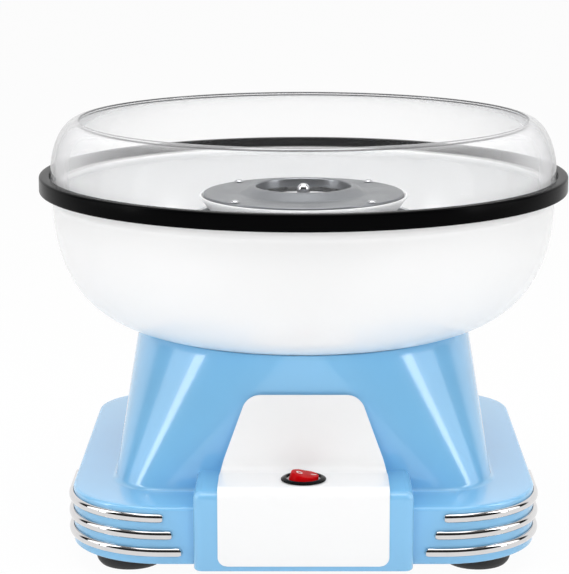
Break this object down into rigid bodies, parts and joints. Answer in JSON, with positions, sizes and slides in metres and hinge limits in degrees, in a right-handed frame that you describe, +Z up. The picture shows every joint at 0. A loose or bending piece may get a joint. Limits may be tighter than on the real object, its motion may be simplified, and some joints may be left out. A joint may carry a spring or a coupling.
{
  "type": "cotton candy machine",
  "caption": "Table-top cotton candy machine: heated spinning sugar head in a white bowl with a clear guard, on a blue plinth with a switch panel and chrome strips.",
  "frame": {"origin": "on the table, under the spindle: the centre of the bottom of the machine's box", "axes": "+Z up along the spindle, -Y towards the switch panel at the front, +X to the right seen from the front"},
  "size_m": [0.3, 0.3, 0.2331],
  "materials": {
    "blue_plastic": "glossy light blue moulding",
    "white_plastic": "glossy white moulding",
    "black_plastic": "glossy black moulding",
    "clear_plastic": "clear polycarbonate",
    "red_plastic": "glossy red moulding",
    "chrome": "bright chrome",
    "rubber": "matt black rubber",
    "aluminium": "satin spun aluminium",
    "steel": "plain steel",
    "brass": "plain brass",
    "ceramic": "unglazed ceramic",
    "carbon": "carbon block",
    "ferrite": "sintered ferrite",
    "wire_sleeve": "black silicone wire sleeve"
  },
  "bodies": {
    "base": {"base_shell": "blue_plastic", "bottom_plate": "blue_plastic", "front_panel": "white_plastic", "chrome_strip_left_upper": "chrome", "chrome_strip_left_middle": "chrome", "chrome_strip_left_lower": "chrome", "chrome_strip_right_upper": "chrome", "chrome_strip_right_middle": "chrome", "chrome_strip_right_lower": "chrome", "foot_front_left": "rubber", "foot_front_right": "rubber", "foot_rear_left": "rubber", "foot_rear_right": "rubber", "foot_screw_front_left": "steel", "foot_screw_front_right": "steel", "foot_screw_rear_left": "steel", "foot_screw_rear_right": "steel", "cord_gland": "rubber", "switch_housing": "black_plastic", "switch_terminal_left": "brass", "switch_terminal_right": "brass", "motor_can": "steel", "motor_end_cap": "black_plastic", "motor_magnet_left": "ferrite", "motor_magnet_right": "ferrite", "motor_brush_left": "carbon", "motor_brush_right": "carbon", "upper_bush": "brass", "lower_bush": "brass", "motor_bracket": "steel", "motor_damper_left": "rubber", "motor_damper_right": "rubber", "bracket_screw_left": "steel", "bracket_screw_right": "steel", "heater_cup": "aluminium", "heat_reflector": "aluminium", "heater_element": "steel", "heater_bush_left": "ceramic", "heater_bush_right": "ceramic", "thermal_cutout": "ceramic", "lead_supply": "wire_sleeve", "lead_motor": "wire_sleeve", "lead_heater_live": "wire_sleeve", "lead_heater_neutral": "wire_sleeve"},
    "spinner": {"shaft": "steel", "rotor": "steel", "commutator": "brass", "head_pan": "aluminium", "head_top": "aluminium", "floss_screen": "steel", "head_screw_1": "steel", "head_screw_2": "steel", "head_screw_3": "steel", "head_screw_4": "steel", "head_nut": "steel"},
    "rocker": {"rocker": "red_plastic"},
    "bowl": {"bowl": "white_plastic", "rim_ring": "black_plastic"},
    "guard": {"splash_guard": "clear_plastic"}
  },
  "joints": [
    {"name": "head_spin", "type": "hinge", "parent": "base", "child": "spinner", "pos_m": [0, 0, 0.1], "axis": [0, 0, 1], "continuous": true},
    {"name": "rocker_press", "type": "hinge", "parent": "base", "child": "rocker", "pos_m": [0, -0.1245, 0.055], "axis": [0, 1, 0], "range_deg": [-20, 0]},
    {"name": "bowl_twist", "type": "hinge", "parent": "base", "child": "bowl", "pos_m": [0, 0, 0.15], "axis": [0, 0, 1], "range_deg": [0, 32]},
    {"name": "guard_lift", "type": "slide", "parent": "bowl", "child": "guard", "axis": [0, 0, 1], "range_m": [0, 0.06]}
  ]
}
